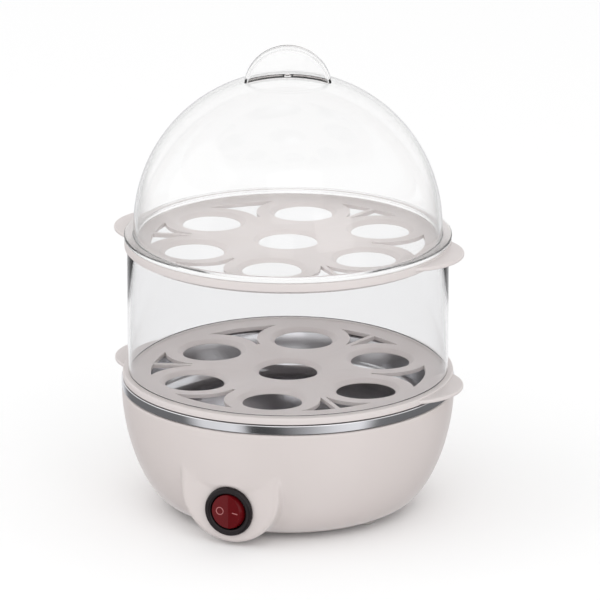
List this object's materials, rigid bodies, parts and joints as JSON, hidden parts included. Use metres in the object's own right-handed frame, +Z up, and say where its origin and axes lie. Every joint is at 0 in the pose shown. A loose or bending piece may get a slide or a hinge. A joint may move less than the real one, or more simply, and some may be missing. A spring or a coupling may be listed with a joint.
{
  "type": "egg cooker",
  "caption": "Two-tier electric egg cooker: bowl-shaped base with front rocker switch and steel water pan, two egg trays, clear ring and clear domed lid.",
  "frame": {"origin": "on the table under the middle of the base, at the bottom centre of the object", "axes": "+Z up; the switch faces -Y; the trays' finger tabs point along +X and -X; the cord gland faces +Y"},
  "size_m": [0.1762, 0.16, 0.2267],
  "materials": {
    "cream_plastic": "satin moulded",
    "tray_plastic": "satin moulded",
    "clear_plastic": "clear polished",
    "steel": "polished pressed steel",
    "silicone": "matt",
    "aluminium": "cast",
    "zinc_steel": "zinc plated",
    "brass": "stamped",
    "rubber": "matt",
    "black_plastic": "gloss moulded",
    "red_lens": "translucent red",
    "lamp_glass": "clear",
    "lead_sleeve": "woven glass sleeve and ceramic"
  },
  "bodies": {
    "base": {"base_housing": "cream_plastic", "bottom_cover": "cream_plastic", "cord_gland": "black_plastic", "cover_screw_1": "zinc_steel", "cover_screw_2": "zinc_steel", "cover_screw_3": "zinc_steel", "cover_screw_4": "zinc_steel", "element_pin_1": "zinc_steel", "element_pin_2": "zinc_steel", "foot_1": "rubber", "foot_2": "rubber", "foot_3": "rubber", "foot_4": "rubber", "gland_nut": "black_plastic", "heat_spreader": "aluminium", "heating_element": "zinc_steel", "heating_pan": "steel", "lead_block_element": "lead_sleeve", "lead_fuse_element": "lead_sleeve", "lead_supply_block": "lead_sleeve", "lead_supply_switch": "lead_sleeve", "lead_switch_block": "lead_sleeve", "lead_switch_fuse": "lead_sleeve", "pan_bracket_1": "zinc_steel", "pan_bracket_2": "zinc_steel", "pan_bracket_3": "zinc_steel", "pan_bracket_4": "zinc_steel", "pan_seal": "silicone", "strap_screw_1": "zinc_steel", "strap_screw_2": "zinc_steel", "switch_body": "black_plastic", "switch_contact": "brass", "switch_lamp": "lamp_glass", "switch_terminal_1": "brass", "switch_terminal_2": "brass", "switch_terminal_3": "brass", "terminal_block": "lead_sleeve", "thermal_fuse": "silicone", "thermostat": "black_plastic", "thermostat_strap": "zinc_steel"},
    "switch_rocker": {"switch_rocker": "red_lens", "switch_plunger": "brass"},
    "lower_tray": {"lower_tray": "tray_plastic"},
    "middle_ring": {"middle_ring": "clear_plastic"},
    "upper_tray": {"upper_tray": "tray_plastic"},
    "lid": {"lid": "clear_plastic"}
  },
  "joints": [
    {"name": "rocker_tilt", "type": "hinge", "parent": "base", "child": "switch_rocker", "pos_m": [0, -0.073, 0.0178], "axis": [0, 0, 1], "range_deg": [0, 20]},
    {"name": "lower_tray_lift", "type": "slide", "parent": "base", "child": "lower_tray", "axis": [0, 0, 1], "range_m": [0, 0.06]},
    {"name": "ring_lift", "type": "slide", "parent": "lower_tray", "child": "middle_ring", "axis": [0, 0, 1], "range_m": [0, 0.08]},
    {"name": "upper_tray_lift", "type": "slide", "parent": "middle_ring", "child": "upper_tray", "axis": [0, 0, 1], "range_m": [0, 0.08]},
    {"name": "lid_lift", "type": "slide", "parent": "upper_tray", "child": "lid", "axis": [0, 0, 1], "range_m": [0, 0.12]}
  ]
}
